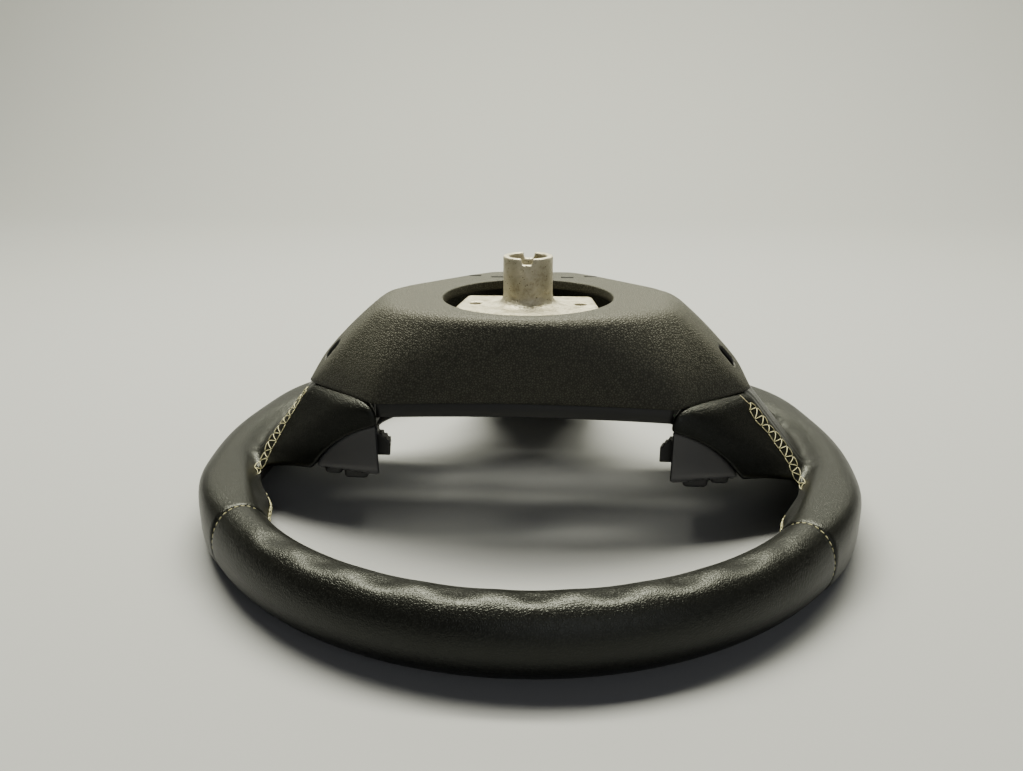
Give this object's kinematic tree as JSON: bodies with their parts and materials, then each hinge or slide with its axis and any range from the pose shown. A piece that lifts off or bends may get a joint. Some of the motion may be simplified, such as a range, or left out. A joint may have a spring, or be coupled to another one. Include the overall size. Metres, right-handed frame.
{
  "type": "car steering wheel",
  "caption": "Leather-wrapped car steering wheel with its airbag module taken out: cast armature with a notched column boss, grained rear cover, side spokes with push-button switches.",
  "frame": {"origin": "on the column axis, at the plane the rim's front rests on", "axes": "+Z from the driver to the column, -Y to 12 o'clock, +X to the right as seen from the column side with 12 o'clock near"},
  "size_m": [0.38, 0.38, 0.1442],
  "materials": {
    "cast_alloy": "as cast, dull",
    "grained_plastic": "fine leather grain",
    "leather": "smooth with a low sheen",
    "satin_grey": "satin",
    "black_plastic": "plain moulded",
    "board": "coated board",
    "mat_rubber": "silicone",
    "steel": "zinc plated",
    "button_plastic": "fine matt"
  },
  "bodies": {
    "wheel": {"armature": "cast_alloy", "rear_cover": "grained_plastic", "leather_top": "leather", "leather_left": "leather", "leather_right": "leather", "leather_bottom": "leather", "bezel_left": "satin_grey", "bezel_right": "satin_grey", "switch_housing_left": "black_plastic", "switch_housing_right": "black_plastic", "switch_board_left": "board", "switch_board_right": "board", "switch_mat_left": "mat_rubber", "switch_mat_right": "mat_rubber", "lower_trim": "satin_grey", "airbag_spring_left": "steel", "airbag_spring_right": "steel", "cover_screws": "steel", "switch_screws": "steel"},
    "button_left_inner": {"button_left_inner": "button_plastic"},
    "button_left_outer": {"button_left_outer": "button_plastic"},
    "button_left_lower": {"button_left_lower": "button_plastic"},
    "button_right_inner": {"button_right_inner": "button_plastic"},
    "button_right_outer": {"button_right_outer": "button_plastic"},
    "button_right_lower": {"button_right_lower": "button_plastic"}
  },
  "joints": [
    {"name": "button_left_inner_press", "type": "slide", "parent": "wheel", "child": "button_left_inner", "axis": [0, 0, 1], "range_m": [0, 0.001], "stiffness_N_per_m": 600, "springref_m": -0.002},
    {"name": "button_left_outer_press", "type": "slide", "parent": "wheel", "child": "button_left_outer", "axis": [0, 0, 1], "range_m": [0, 0.001], "stiffness_N_per_m": 600, "springref_m": -0.002},
    {"name": "button_left_lower_press", "type": "slide", "parent": "wheel", "child": "button_left_lower", "axis": [0, 0, 1], "range_m": [0, 0.001], "stiffness_N_per_m": 600, "springref_m": -0.002},
    {"name": "button_right_inner_press", "type": "slide", "parent": "wheel", "child": "button_right_inner", "axis": [0, 0, 1], "range_m": [0, 0.001], "stiffness_N_per_m": 600, "springref_m": -0.002},
    {"name": "button_right_outer_press", "type": "slide", "parent": "wheel", "child": "button_right_outer", "axis": [0, 0, 1], "range_m": [0, 0.001], "stiffness_N_per_m": 600, "springref_m": -0.002},
    {"name": "button_right_lower_press", "type": "slide", "parent": "wheel", "child": "button_right_lower", "axis": [0, 0, 1], "range_m": [0, 0.001], "stiffness_N_per_m": 600, "springref_m": -0.002}
  ]
}
